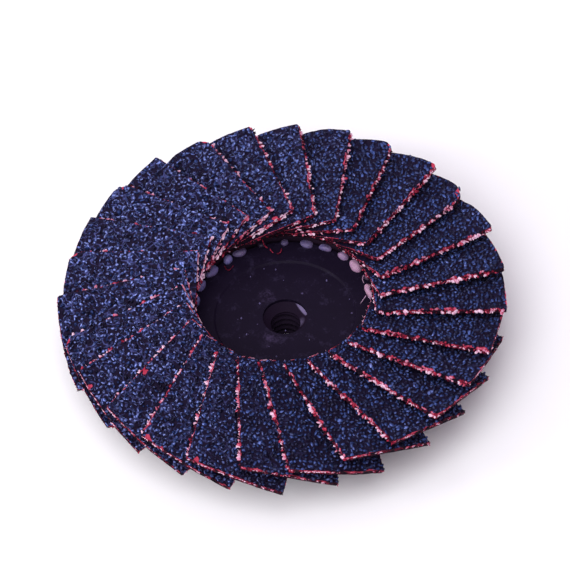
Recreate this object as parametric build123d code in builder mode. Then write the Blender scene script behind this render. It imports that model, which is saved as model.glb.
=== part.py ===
"""Flap disc: 27 abrasive cloth flaps fanned round a moulded plate with a threaded steel bush.

Millimetres, +Z up. The origin is on the axis, in the flat end of the bush, where the drive shaft's
shoulder seats. The disc lies with its grinding face up and stands on that flat end.
"""

import os
from math import cos, radians, sin, tan

from build123d import *

os.makedirs("parts", exist_ok=True)

# Threaded bush: the disc screws onto a 1/4-20 UNC drive shaft from below.
bush_boss_radius = 7.95
bush_boss_height = 5.0
bush_head_radius = 5.5
thread_minor_radius = 2.55
thread_entry_chamfer = 0.4
bush_mouth_radius = 3.8
bush_edge_chamfer = 0.5

# Backing plate: a moulded disc with a shallow recess and a small well over the bush.
plate_thickness = 3.2
plate_radius = 31.5
plate_flat_radius = 20.0
plate_rim_drop = 1.0
plate_rim_thickness = 1.9
plate_rim_rounding = 0.57
plate_lip_thickness = 0.6
recess_radius = 11.8
recess_depth = 0.3
recess_edge_radius = 0.14
floor_z = bush_boss_height + plate_thickness

# Flaps: flat pieces of coated cloth with a slightly rounded outer end. Their leading edges stand
# up, their trailing edges lie on the plate, and each one covers half of the flap before it.
flap_count = 27
flap_length = 21.95
flap_width = 16.95
flap_end_bulge = 0.8
flap_thickness = 1.0
flap_inner_reach = 14.8
flap_side_offset = 0.85
flap_inner_height = 5.35
flap_tilt = 21.9
flap_droop = 4.7
first_flap_angle = -94.1

# How unevenly the flaps were laid: a slow drift all round, and some that sit visibly askew,
# further out or further in. Flaps count from 0, and a positive turn swings the outer end to the
# trailing side. The drift rates are in radians a flap.
turn_drift = 0.5
turn_drift_rate = 3.7
droop_drift = 0.7
droop_drift_rate = 2.1
askew_turns = {0: 1.2, 3: 1.0, 6: -1.8, 10: 1.2, 12: 1.6, 16: -2.0, 18: -1.5, 19: -2.0, 20: -1.2, 22: 2.2}
slid_outwards = {7: 0.3, 14: -0.5, 21: 0.5, 26: 0.5}

# Corners lost from the outer leading end of some flaps, measured along both edges.
worn_corners = {10: 1.9, 12: 0.9, 16: 0.8, 18: 1.2, 20: 1.1, 22: 1.0}

# Adhesive: a ring of set epoxy that the trailing edges are bedded in, with a bead squeezed out
# at the inner foot of each flap.
bed_inner_radius = 16.4
bed_outer_radius = 30.6
bed_edge_slope = 0.5
flap_bedding = 0.45
bead_ring_radius = 15.9
bead_radius = 1.0
bead_size_spread = 0.2
bead_size_rate = 1.9
bead_centre_lift = 0.25
bead_angle = 33.0

radius_tolerance = 0.01


def make_threaded_bush():
    """Steel insert: a broad boss below the plate, and a head that the plate is moulded over."""
    head_top = floor_z - recess_depth - plate_lip_thickness
    mouth_depth = bush_mouth_radius - thread_minor_radius
    with BuildPart() as bush:
        with BuildSketch(Plane.XZ):
            with BuildLine():
                Polyline(
                    (thread_minor_radius, thread_entry_chamfer),
                    (thread_minor_radius + thread_entry_chamfer, 0),
                    (bush_boss_radius - bush_edge_chamfer, 0),
                    (bush_boss_radius, bush_edge_chamfer),
                    (bush_boss_radius, bush_boss_height),
                    (bush_head_radius, bush_boss_height),
                    (bush_head_radius, head_top),
                    (bush_mouth_radius, head_top),
                    (thread_minor_radius, head_top - mouth_depth),
                    close=True,
                )
            make_face()
        revolve(axis=Axis.Z)
    bush.part.label = "threaded_bush"
    return bush.part


def make_backing_plate():
    """Moulded disc: its lip covers the bush's head, and its top falls away towards the rim."""
    lip_top = floor_z - recess_depth
    rim_z = floor_z - plate_rim_drop
    with BuildPart() as plate:
        with BuildSketch(Plane.XZ):
            with BuildLine():
                Polyline(
                    (bush_mouth_radius, lip_top),
                    (recess_radius, lip_top),
                    (recess_radius + recess_depth, floor_z),
                    (plate_flat_radius, floor_z),
                    (plate_radius, rim_z),
                    (plate_radius, rim_z - plate_rim_thickness),
                    (plate_flat_radius, bush_boss_height),
                    (bush_head_radius, bush_boss_height),
                    (bush_head_radius, lip_top - plate_lip_thickness),
                    (bush_mouth_radius, lip_top - plate_lip_thickness),
                    close=True,
                )
            make_face()
        revolve(axis=Axis.Z)
        circles = plate.edges().filter_by(GeomType.CIRCLE)
        step_radius = recess_radius + recess_depth
        step_edge = circles.filter_by(lambda edge: abs(edge.radius - step_radius) < radius_tolerance)
        fillet(step_edge, recess_edge_radius)
        rim_edges = circles.filter_by(lambda edge: abs(edge.radius - plate_radius) < radius_tolerance)
        fillet(rim_edges, plate_rim_rounding)
    plate.part.label = "backing_plate"
    return plate.part


def flap_plane(index):
    """Plane of one flap's top: origin at its inner middle, X outwards, Y to its trailing edge."""
    angle = first_flap_angle + index * 360 / flap_count
    droop = flap_droop + droop_drift * sin(index * droop_drift_rate)
    turn = turn_drift * sin(index * turn_drift_rate) + askew_turns.get(index, 0)
    outwards = Vector(cos(radians(angle)), sin(radians(angle)), 0)
    sideways = Vector(-outwards.Y, outwards.X, 0)
    long_side = outwards * cos(radians(droop)) - Vector(0, 0, 1) * sin(radians(droop))
    level_normal = long_side.cross(sideways)
    normal = (level_normal * cos(radians(flap_tilt)) + sideways * sin(radians(flap_tilt))).normalized()
    inner_middle = outwards * flap_inner_reach + sideways * flap_side_offset
    lift = Vector(0, 0, floor_z + flap_inner_height)
    origin = inner_middle + lift + long_side * slid_outwards.get(index, 0)
    return Plane(origin=origin, x_dir=long_side, z_dir=normal).rotated((0, 0, turn))


def make_flap(index):
    """One flat flap. A worn one has lost its outer leading corner."""
    half_width = flap_width / 2
    with BuildPart() as flap:
        with BuildSketch(flap_plane(index)) as outline:
            with BuildLine():
                outer_end = ThreePointArc(
                    (flap_length, -half_width),
                    (flap_length + flap_end_bulge, 0),
                    (flap_length, half_width),
                )
                Polyline(outer_end @ 1, (0, half_width), (0, -half_width), outer_end @ 0)
            make_face()
            if index in worn_corners:
                outer_leading_corner = outline.vertices().sort_by(Axis.X)[-2:].sort_by(Axis.Y)[0]
                chamfer(outer_leading_corner, worn_corners[index])
        extrude(amount=-flap_thickness)
    flap.part.label = f"flap_{index + 1:02d}"
    return flap.part


def bed_top(radius):
    """Height of the adhesive at a radius: a little over the lowest edge of the flaps there."""
    half_width = flap_width / 2
    foot_drop = half_width * sin(radians(flap_tilt)) + flap_thickness * cos(radians(flap_tilt))
    foot_z = floor_z + flap_inner_height - foot_drop
    return foot_z - (radius - flap_inner_reach) * tan(radians(flap_droop)) + flap_bedding


def make_adhesive_bed(plate, flaps):
    """Epoxy ring cut by every flap that is bedded in it, with one bead for each inner foot."""
    with BuildPart() as bed:
        with BuildSketch(Plane.XZ):
            with BuildLine():
                Polyline(
                    (bed_inner_radius, floor_z),
                    (bed_inner_radius + bed_edge_slope, bed_top(bed_inner_radius)),
                    (bed_outer_radius - bed_edge_slope, bed_top(bed_outer_radius)),
                    (bed_outer_radius, floor_z - plate_rim_drop),
                    (bed_inner_radius, floor_z - plate_rim_drop),
                    close=True,
                )
            make_face()
        revolve(axis=Axis.Z)
        for index in range(flap_count):
            angle = first_flap_angle + bead_angle + index * 360 / flap_count
            size = bead_radius * (1 + bead_size_spread * sin(index * bead_size_rate))
            with Locations(Plane.XY.offset(floor_z + bead_centre_lift)):
                with PolarLocations(bead_ring_radius, 1, start_angle=angle):
                    Sphere(size)
        add(plate, mode=Mode.SUBTRACT)
        for flap in flaps:
            add(flap, mode=Mode.SUBTRACT)
    bed.part.label = "adhesive_bed"
    return bed.part


threaded_bush = make_threaded_bush()
backing_plate = make_backing_plate()
flaps = [make_flap(index) for index in range(flap_count)]
adhesive_bed = make_adhesive_bed(backing_plate, flaps)

for piece in [threaded_bush, backing_plate, adhesive_bed, *flaps]:
    export_step(piece, f"parts/{piece.label}.step")
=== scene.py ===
import math
import random

import bpy
import numpy as np
from mathutils import Matrix, Vector, noise


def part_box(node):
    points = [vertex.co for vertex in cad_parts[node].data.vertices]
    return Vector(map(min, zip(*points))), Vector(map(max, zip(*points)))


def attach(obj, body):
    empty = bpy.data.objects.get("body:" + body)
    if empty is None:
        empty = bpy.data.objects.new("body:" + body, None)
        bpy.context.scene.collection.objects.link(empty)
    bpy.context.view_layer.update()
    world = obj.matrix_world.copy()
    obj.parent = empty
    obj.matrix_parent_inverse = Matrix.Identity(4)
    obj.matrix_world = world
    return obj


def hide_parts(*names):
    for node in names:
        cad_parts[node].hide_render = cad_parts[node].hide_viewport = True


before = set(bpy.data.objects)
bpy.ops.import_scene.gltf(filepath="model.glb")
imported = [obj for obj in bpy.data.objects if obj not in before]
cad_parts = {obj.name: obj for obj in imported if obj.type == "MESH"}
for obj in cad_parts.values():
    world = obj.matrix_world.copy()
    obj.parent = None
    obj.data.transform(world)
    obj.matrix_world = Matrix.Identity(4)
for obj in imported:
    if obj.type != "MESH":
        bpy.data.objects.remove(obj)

mm = 0.001
fullTurn = 2 * math.pi
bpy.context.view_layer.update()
print("frame loaded:", len(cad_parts), "CAD nodes")


def tone(red, green, blue):
    # an sRGB colour on the 0-255 scale, as the linear colour that sockets take
    parts = [value / 255 for value in (red, green, blue)]
    linear = [p / 12.92 if p <= 0.04045 else ((p + 0.055) / 1.055) ** 2.4 for p in parts]
    return (*linear, 1.0)


def addNode(tree, kind, inputs=None, **settings):
    # each input is a constant or another node's output
    node = tree.nodes.new("ShaderNode" + kind)
    for name, value in settings.items():
        setattr(node, name, value)
    for name, value in (inputs or {}).items():
        if isinstance(value, bpy.types.NodeSocket):
            tree.links.new(value, node.inputs[name])
        else:
            node.inputs[name].default_value = value
    return node


def addMath(tree, operation, first, second=0.0, clamp=False):
    return addNode(tree, "Math", {0: first, 1: second}, operation=operation, use_clamp=clamp).outputs[0]


def addSwing(tree, mask, amount):
    # a mask from 0 to 1, turned into a change either side of 0
    return addMath(tree, "MULTIPLY", addMath(tree, "SUBTRACT", mask, 0.5), amount)


def addRange(tree, value, low, high, start=0.0, end=1.0):
    inputs = {"Value": value, "From Min": low, "From Max": high, "To Min": start, "To Max": end}
    return addNode(tree, "MapRange", inputs).outputs["Result"]


def addRamp(tree, factor, places, colours):
    ramp = addNode(tree, "ValToRGB", {"Fac": factor})
    elements = ramp.color_ramp.elements
    while len(elements) < len(places):
        elements.new(0.5)
    for element, place, colour in zip(elements, places, colours):
        element.position = place
        element.color = colour
    return ramp.outputs["Color"]


def addMix(tree, factor, first, second):
    # socket 0 of a colour mix is its factor, and 6 and 7 are its two colours
    return addNode(tree, "Mix", {0: factor, 6: first, 7: second}, data_type="RGBA").outputs[2]


def newGroup(name, inputs, output):
    # a node group with one output; an input with no value is a vector, and the others are numbers
    group = bpy.data.node_groups.new(name, "ShaderNodeTree")
    for label, value in inputs.items():
        kind = "NodeSocketVector" if value is None else "NodeSocketFloat"
        socket = group.interface.new_socket(label, in_out="INPUT", socket_type=kind)
        if value is not None:
            socket.default_value = value
    group.interface.new_socket(output, in_out="OUTPUT", socket_type="NodeSocketFloat")
    start, end = group.nodes.new("NodeGroupInput"), group.nodes.new("NodeGroupOutput")
    return group, start.outputs, end.inputs[output]


def makeMottleGroup():
    # soft uneven tone at two scales, from 0 to 1
    group, start, end = newGroup(
        "mottle", {"Vector": None, "Blotch Scale": 200.0, "Fleck Scale": 1500.0, "Contrast": 1.5}, "Mask")
    scales = (("Blotch Scale", 4.0, 0.6, 0.65), ("Fleck Scale", 2.0, 0.5, 0.35))
    layers = []
    for label, detail, roughness, share in scales:
        cloud = addNode(group, "TexNoise", {
            "Vector": start["Vector"], "Scale": start[label], "Detail": detail, "Roughness": roughness})
        layers.append(addMath(group, "MULTIPLY", cloud.outputs["Fac"], share))
    uneven = addSwing(group, addMath(group, "ADD", *layers), start["Contrast"])
    group.links.new(addMath(group, "ADD", uneven, 0.5, clamp=True), end)
    return group


def makeSpeckGroup():
    # sparse round specks of grit: one cell in a few holds a speck, and its size varies
    group, start, end = newGroup(
        "gritSpecks", {"Vector": None, "Cells": 900.0, "Speck Size": 0.16, "Share": 0.25}, "Mask")
    cells = addNode(group, "TexVoronoi", {
        "Vector": start["Vector"], "Scale": start["Cells"], "Randomness": 1.0}, feature="F1")
    chance = addNode(group, "SeparateColor", {"Color": cells.outputs["Color"]})
    chosen = addMath(group, "LESS_THAN", chance.outputs["Red"], start["Share"])
    smallest = 0.4      # of the speck size
    size = addMath(group, "ADD", chance.outputs["Green"], smallest)
    reach = addMath(group, "MULTIPLY", start["Speck Size"], size)
    inside = addMath(group, "LESS_THAN", cells.outputs["Distance"], reach)
    group.links.new(addMath(group, "MULTIPLY", chosen, inside), end)
    return group


def makeWeaveGroup():
    # plain weave in thread counts: U and V grow by one for each thread
    group, start, end = newGroup("plainWeave", {"U": 0.0, "V": 0.0}, "Height")
    steps = addMath(group, "ADD", *[addMath(group, "FLOOR", start[label]) for label in ("U", "V")])
    over = addMath(group, "ABSOLUTE", addMath(group, "MODULO", steps, 2.0))
    under = addMath(group, "SUBTRACT", 1.0, over)
    buried = 0.4        # height of a thread where it passes under another
    threads = []
    for label, raised in (("U", over), ("V", under)):
        wave = addMath(group, "SINE", addMath(group, "MULTIPLY", start[label], math.pi))
        level = addMath(group, "ADD", addMath(group, "MULTIPLY", raised, 1.0 - buried), buried)
        threads.append(addMath(group, "MULTIPLY", addMath(group, "ABSOLUTE", wave), level))
    group.links.new(addMath(group, "MAXIMUM", *threads), end)
    return group


def makeCurlGroup():
    # thin wandering loops of painted highlight, drawn like the rim of resin that creeps up round each grain
    group, start, end = newGroup("highlightCurls", {"Vector": None, "Scale": 1200.0, "Width": 0.2}, "Mask")
    field = addNode(group, "TexNoise", {
        "Vector": start["Vector"], "Scale": start["Scale"], "Detail": 1.0, "Roughness": 0.4})
    away = addMath(group, "ABSOLUTE", addMath(group, "SUBTRACT", field.outputs["Fac"], 0.5))
    widest = 4.0        # the noise seldom goes further than a quarter from its middle
    share = addMath(group, "DIVIDE", addMath(group, "MULTIPLY", away, widest), start["Width"])
    group.links.new(addMath(group, "SUBTRACT", 1.0, share, clamp=True), end)
    return group


def makeRimGroup():
    # broken line of painted highlight where the resin meets the side of each grain: Rim is 1 on that line
    group, start, end = newGroup(
        "rimHighlights", {"Vector": None, "Rim": 0.0, "Scale": 1200.0, "Share": 0.5}, "Mask")
    line = addRange(group, start["Rim"], 0.45, 0.85)
    patches = addNode(group, "TexNoise", {
        "Vector": start["Vector"], "Scale": start["Scale"], "Detail": 1.0, "Roughness": 0.4})
    highest, span, sharpness = 0.75, 0.5, 8.0       # of the noise, and of its edge
    above = addMath(group, "ADD", addMath(group, "SUBTRACT", patches.outputs["Fac"], highest),
                    addMath(group, "MULTIPLY", start["Share"], span))
    kept = addMath(group, "MULTIPLY", above, sharpness, clamp=True)
    group.links.new(addMath(group, "MULTIPLY", line, kept), end)
    return group


mottle = makeMottleGroup()
gritSpecks = makeSpeckGroup()
highlightCurls = makeCurlGroup()
rimHighlights = makeRimGroup()
plainWeave = makeWeaveGroup()
print("node groups made:", len(bpy.data.node_groups))


def newMaterial(name, fixed):
    material = bpy.data.materials.new(name)
    material.use_nodes = True
    tree = material.node_tree
    shader = tree.nodes["Principled BSDF"]
    for socket, value in fixed.items():
        shader.inputs[socket].default_value = value
    return material, tree, shader


def pointValue(tree, name):
    return addNode(tree, "Attribute", attribute_name=name).outputs["Fac"]


def objectPlace(tree):
    return addNode(tree, "TexCoord").outputs["Object"]


def addMottle(tree, place, blotches, flecks, contrast):
    inputs = {"Vector": place, "Blotch Scale": blotches, "Fleck Scale": flecks, "Contrast": contrast}
    return addNode(tree, "Group", inputs, node_tree=mottle).outputs["Mask"]


def addBump(tree, shader, height, depth, strength):
    bump = addNode(tree, "Bump", {"Height": height, "Distance": depth * mm, "Strength": strength})
    tree.links.new(bump.outputs["Normal"], shader.inputs["Normal"])


def addSpot(tree, place, x, y, z, reach):
    # 1 at a point given in mm, falling to 0 at its reach
    gap = addNode(tree, "VectorMath", {0: place, 1: (x * mm, y * mm, z * mm)}, operation="DISTANCE")
    share = addMath(tree, "DIVIDE", gap.outputs["Value"], reach * mm)
    return addMath(tree, "SUBTRACT", 1.0, share, clamp=True)


# in these dictionaries a mottle is blotches and flecks per metre, then contrast, and a bump is depth in mm,
# then strength
grainLook = {
    "deep": tone(16, 14, 32),
    "navy": tone(23, 38, 78),
    "blue": tone(56, 75, 130),
    "pale": tone(130, 142, 204),
    "shares": (0.08, 0.38, 0.72, 0.94),     # where those four lie between the darkest and the palest grain
    # the colour of the painted highlight rims and curls
    "rim": tone(150, 168, 242),
    "tint": (0.62, 0.66, 1.0, 1.0),
    "roughness": 0.36,
    "mottle": (160.0, 2600.0, 1.7),
    "patchiness": 0.4,
    "toneSpread": 0.80,
    "curlShade": 0.32,                      # how much darker the grain is painted on flaps with the most painted highlight curls
    "curlScale": 820.0,
    "curlWidth": 0.22,
    "curlGrowth": 0.10,
    "curlPatches": (0.2, 0.52),             # the curls fade in between these tones of the mottle
    "rimShare": 0.4,
    "bump": (0.06, 0.4),
}


def addHighlightLines(tree, place, width):
    # painted highlight curls, and then these together with the painted highlight rims round the grains
    curlInputs = {"Vector": place, "Scale": grainLook["curlScale"], "Width": width}
    rimInputs = {"Vector": place, "Scale": grainLook["curlScale"], "Share": grainLook["rimShare"],
                 "Rim": pointValue(tree, "grainRim")}
    curls = addNode(tree, "Group", curlInputs, node_tree=highlightCurls).outputs["Mask"]
    rims = addNode(tree, "Group", rimInputs, node_tree=rimHighlights).outputs["Mask"]
    return curls, addMath(tree, "MAXIMUM", curls, rims)


def makeMineralGrain():
    # glassy blue grit: every grain has its own tone, and painted highlight rims and curls run over them
    material, tree, shader = newMaterial("mineralGrain", {
        "Roughness": grainLook["roughness"], "Specular IOR Level": 0.4, "Metallic": 0.45,
        "Specular Tint": grainLook["tint"]})
    place = objectPlace(tree)
    highlightAmount = pointValue(tree, "highlightShare")
    wider = addMath(tree, "MULTIPLY", highlightAmount, grainLook["curlGrowth"])
    lines = addHighlightLines(tree, place, addMath(tree, "ADD", wider, grainLook["curlWidth"]))[1]
    patches = addMottle(tree, place, *grainLook["mottle"])
    lightness = addMath(tree, "SUBTRACT",
                        addMath(tree, "MULTIPLY", pointValue(tree, "grainTone"), grainLook["toneSpread"]),
                        addMath(tree, "MULTIPLY", highlightAmount, grainLook["curlShade"]))
    shade = addMath(tree, "ADD", lightness, addSwing(tree, patches, grainLook["patchiness"]), clamp=True)
    broken = addMath(tree, "MULTIPLY", lines, addRange(tree, patches, *grainLook["curlPatches"]))
    colours = [grainLook[name] for name in ("deep", "navy", "blue", "pale")]
    body = addRamp(tree, shade, grainLook["shares"], colours)
    rimmed = addMix(tree, addMath(tree, "MULTIPLY", broken, highlightAmount), body, grainLook["rim"])
    tree.links.new(rimmed, shader.inputs["Base Color"])
    addBump(tree, shader, patches, *grainLook["bump"])
    return material


coatLook = {
    "resin": tone(27, 18, 32),
    "resinLight": tone(29, 27, 50),
    # the colour of the painted highlight curls on the resin
    "curl": tone(106, 116, 188),
    "cloth": tone(164, 32, 58),
    "clothPale": tone(206, 84, 108),
    "tint": (0.8, 0.75, 1.0, 1.0),
    "mottle": (700.0, 4000.0, 2.0),
    "curlWidth": 0.24,
    "curlPatches": (0.3, 0.75),
    "curlStrength": 0.75,
    "chipRaggedness": 0.8,
    "bump": (0.08, 0.7),
}


def makeSizeCoat():
    # dark resin between and up the sides of the grains, with faint painted highlight curls, chipped off to
    # red cloth in places
    material, tree, shader = newMaterial("sizeCoat", {
        "Roughness": 0.55, "Specular IOR Level": 0.04, "Specular Tint": coatLook["tint"]})
    place = objectPlace(tree)
    blotches = addMottle(tree, place, *coatLook["mottle"])
    curls, lines = addHighlightLines(tree, place, coatLook["curlWidth"])
    strength = addRange(tree, blotches, *coatLook["curlPatches"], end=coatLook["curlStrength"])
    shown = addMath(tree, "MULTIPLY", strength, pointValue(tree, "highlightShare"))
    plain = addMix(tree, blotches, coatLook["resin"], coatLook["resinLight"])
    resin = addMix(tree, addMath(tree, "MULTIPLY", lines, shown), plain, coatLook["curl"])
    cloth = addMix(tree, blotches, coatLook["cloth"], coatLook["clothPale"])
    ragged = addSwing(tree, blotches, coatLook["chipRaggedness"])
    chipped = addMath(tree, "GREATER_THAN", addMath(tree, "ADD", pointValue(tree, "bareCloth"), ragged), 0.5)
    tree.links.new(addMix(tree, chipped, resin, cloth), shader.inputs["Base Color"])
    addBump(tree, shader, addMath(tree, "ADD", blotches, curls), *coatLook["bump"])
    return material


fibreLook = {
    # near black: stain, and painted shade on the cut face between the tufts
    "darkStainAndShade": tone(24, 14, 26),
    "deepRed": tone(112, 20, 44),
    "red": tone(190, 56, 80),
    "pink": tone(208, 140, 168),
    "pale": tone(232, 200, 218),
    "shares": (0.08, 0.26, 0.46, 0.7, 0.92),
    "mottle": (1400.0, 7000.0, 2.4),
    "streakiness": 0.7,
    "bump": (0.15, 0.8),
}


def makeCutFibre():
    # sawn cloth edge: red-dyed yarn whose broken ends have gone pale
    material, tree, shader = newMaterial("cutFibre", {"Roughness": 0.85, "Specular IOR Level": 0.08})
    streaks = addMottle(tree, objectPlace(tree), *fibreLook["mottle"])
    uneven = addSwing(tree, streaks, fibreLook["streakiness"])
    shade = addMath(tree, "ADD", pointValue(tree, "frayTone"), uneven, clamp=True)
    colours = [fibreLook[name] for name in ("darkStainAndShade", "deepRed", "red", "pink", "pale")]
    tree.links.new(addRamp(tree, shade, fibreLook["shares"], colours), shader.inputs["Base Color"])
    addBump(tree, shader, streaks, *fibreLook["bump"])
    return material


backLook = {
    "threadsPerMetre": 1900.0,
    "thread": tone(150, 52, 58),
    "gap": tone(70, 22, 34),
    "resinStain": tone(44, 24, 38),
    "staining": 0.8,
    "mottle": (260.0, 2200.0, 2.2),
    "bump": (0.12, 0.9),
}


def makeClothBack():
    # underside of the coated cloth: red plain weave, stained by the resin that soaked through
    material, tree, shader = newMaterial("clothBack", {
        "Roughness": 0.8, "Specular IOR Level": 0.25, "Sheen Weight": 0.25})
    flat = addNode(tree, "SeparateXYZ", {"Vector": addNode(tree, "UVMap", uv_map="clothMap").outputs["UV"]})
    threads = {label: addMath(tree, "MULTIPLY", flat.outputs[axis], backLook["threadsPerMetre"])
               for label, axis in (("U", "X"), ("V", "Y"))}
    weave = addNode(tree, "Group", threads, node_tree=plainWeave).outputs["Height"]
    stain = addMottle(tree, objectPlace(tree), *backLook["mottle"])
    cloth = addMix(tree, weave, backLook["gap"], backLook["thread"])
    soaked = addMath(tree, "MULTIPLY", stain, backLook["staining"])
    tree.links.new(addMix(tree, soaked, cloth, backLook["resinStain"]), shader.inputs["Base Color"])
    addBump(tree, shader, weave, *backLook["bump"])
    return material


plateLook = {
    "black": tone(20, 14, 28),
    "worn": tone(26, 19, 37),
    "dust": tone(96, 86, 124),
    "palePatch": tone(60, 50, 76),
    "palePatches": ((-2.7, 5.0, 1.9), (-3.0, -4.4, 2.3)),    # x, y and reach in mm
    "palePatchLevel": 7.9,
    "gloss": (0.38, 0.56),                              # least and most roughness
    "mottle": (190.0, 2400.0, 1.6),
    "film": (520.0, 3600.0, 3.0),
    "specks": {"Cells": 620.0, "Speck Size": 0.1, "Share": 0.12},
    "palePatchFilm": (0.3, 2.2),                            # level of the film where it starts, and strength
    "dustFilm": (0.66, 0.3),
    "speckStrength": 0.5,
    "bump": (0.03, 0.35),
}


def makePlateNylon():
    # black moulded nylon: satin, faintly mottled, with grit dust and two paler patches beside the well
    material, tree, shader = newMaterial("plateNylon", {"Specular IOR Level": 0.05})
    place = objectPlace(tree)
    cloud = addMottle(tree, place, *plateLook["mottle"])
    film = addMottle(tree, place, *plateLook["film"])
    speckInputs = {"Vector": place, **plateLook["specks"]}
    specks = addNode(tree, "Group", speckInputs, node_tree=gritSpecks).outputs["Mask"]
    base = addMix(tree, cloud, plateLook["black"], plateLook["worn"])
    level, gain = plateLook["palePatchFilm"]
    for x, y, reach in plateLook["palePatches"]:
        near = addSpot(tree, place, x, y, plateLook["palePatchLevel"], reach)
        brightened = addMath(tree, "MULTIPLY", near, addMath(tree, "SUBTRACT", film, level, clamp=True))
        base = addMix(tree, addMath(tree, "MULTIPLY", brightened, gain, clamp=True), base, plateLook["palePatch"])
    level, gain = plateLook["dustFilm"]
    dust = addMath(tree, "MULTIPLY", addMath(tree, "SUBTRACT", film, level, clamp=True), gain)
    dusty = addMix(tree, dust, base, plateLook["dust"])
    dots = addMath(tree, "MULTIPLY", specks, plateLook["speckStrength"])
    tree.links.new(addMix(tree, dots, dusty, plateLook["dust"]), shader.inputs["Base Color"])
    tree.links.new(addRange(tree, cloud, 0.0, 1.0, *plateLook["gloss"]), shader.inputs["Roughness"])
    addBump(tree, shader, film, *plateLook["bump"])
    return material


glueLook = {
    "milky": tone(118, 116, 172),
    "rosy": tone(196, 150, 170),
    "dirt": tone(36, 26, 44),
    "scatter": (1.0, 0.7, 0.9),
    "mottle": (380.0, 1900.0, 1.8),
    "grime": (800.0, 3000.0, 2.8),
    "grimeLevel": 0.6,
    "bump": (0.06, 0.3),
}


def makeSetEpoxy():
    # cloudy set adhesive: milky and soft, rosy where red dye bled into it, and dark where it is stained
    material, tree, shader = newMaterial("setEpoxy", {
        "Roughness": 0.42, "Subsurface Weight": 0.3, "Subsurface Scale": 0.5 * mm, "Specular IOR Level": 0.25,
        "Subsurface Radius": glueLook["scatter"]})
    place = objectPlace(tree)
    drift = addMottle(tree, place, *glueLook["mottle"])
    grime = addMottle(tree, place, *glueLook["grime"])
    mixed = addMath(tree, "ADD", pointValue(tree, "glueRose"), addSwing(tree, drift, 0.5), clamp=True)
    body = addMix(tree, mixed, glueLook["milky"], glueLook["rosy"])
    smears = addMath(tree, "SUBTRACT", grime, glueLook["grimeLevel"], clamp=True)
    dirt = addMath(tree, "ADD", pointValue(tree, "glueStain"), smears, clamp=True)
    tree.links.new(addMix(tree, dirt, body, glueLook["dirt"]), shader.inputs["Base Color"])
    addBump(tree, shader, grime, *glueLook["bump"])
    return material


def makeClouded(name, look, fixed):
    # two tones drifting into each other over low lumps
    material, tree, shader = newMaterial(name, fixed)
    cloud = addMottle(tree, objectPlace(tree), *look["mottle"])
    tree.links.new(addMix(tree, cloud, *look["tones"]), shader.inputs["Base Color"])
    addBump(tree, shader, cloud, *look["bump"])
    return material


# the same adhesive under the flaps, in two dark tones
bedLook = {
    "tones": (tone(26, 18, 30), tone(44, 30, 46)),
    "mottle": (300.0, 1500.0, 2.4),
    "bump": (0.1, 0.5),
}

# crumbs of grit and resin lying on the plate
dustLook = {
    "tones": (tone(112, 104, 150), tone(70, 62, 96)),
    "mottle": (900.0, 6000.0, 2.4),
    "bump": (0.05, 0.6),
}

steelLook = {
    "bright": tone(150, 146, 158),
    "dull": tone(104, 98, 110),
    # dark of the bore: soot and painted shade
    "sootAndShade": tone(29, 20, 35),
    # colour of the painted highlight crescent and glint
    "brightened": tone(126, 114, 150),
    "turningsPerMetre": 5200.0,
    "boreReach": 4.4,                       # mm, how far out the dark bore goes: soot and painted shade
    "crescentFacing": (0.872, 0.489, 3.30),      # the painted highlight crescent: its side as x, y and distance in mm
    "crescentEnd": 0.55,
    "glimmer": (2.75, -0.15, 6.1, 1.1),     # a dim painted glint by the thread: x, y, z and reach in mm
    "glimmerShare": 0.45,
    "gloss": (0.28, 0.42),
    "boreRoughness": 0.3,
    "mottle": (420.0, 2600.0, 2.0),
    "bump": (0.006, 0.4),
}


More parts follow.
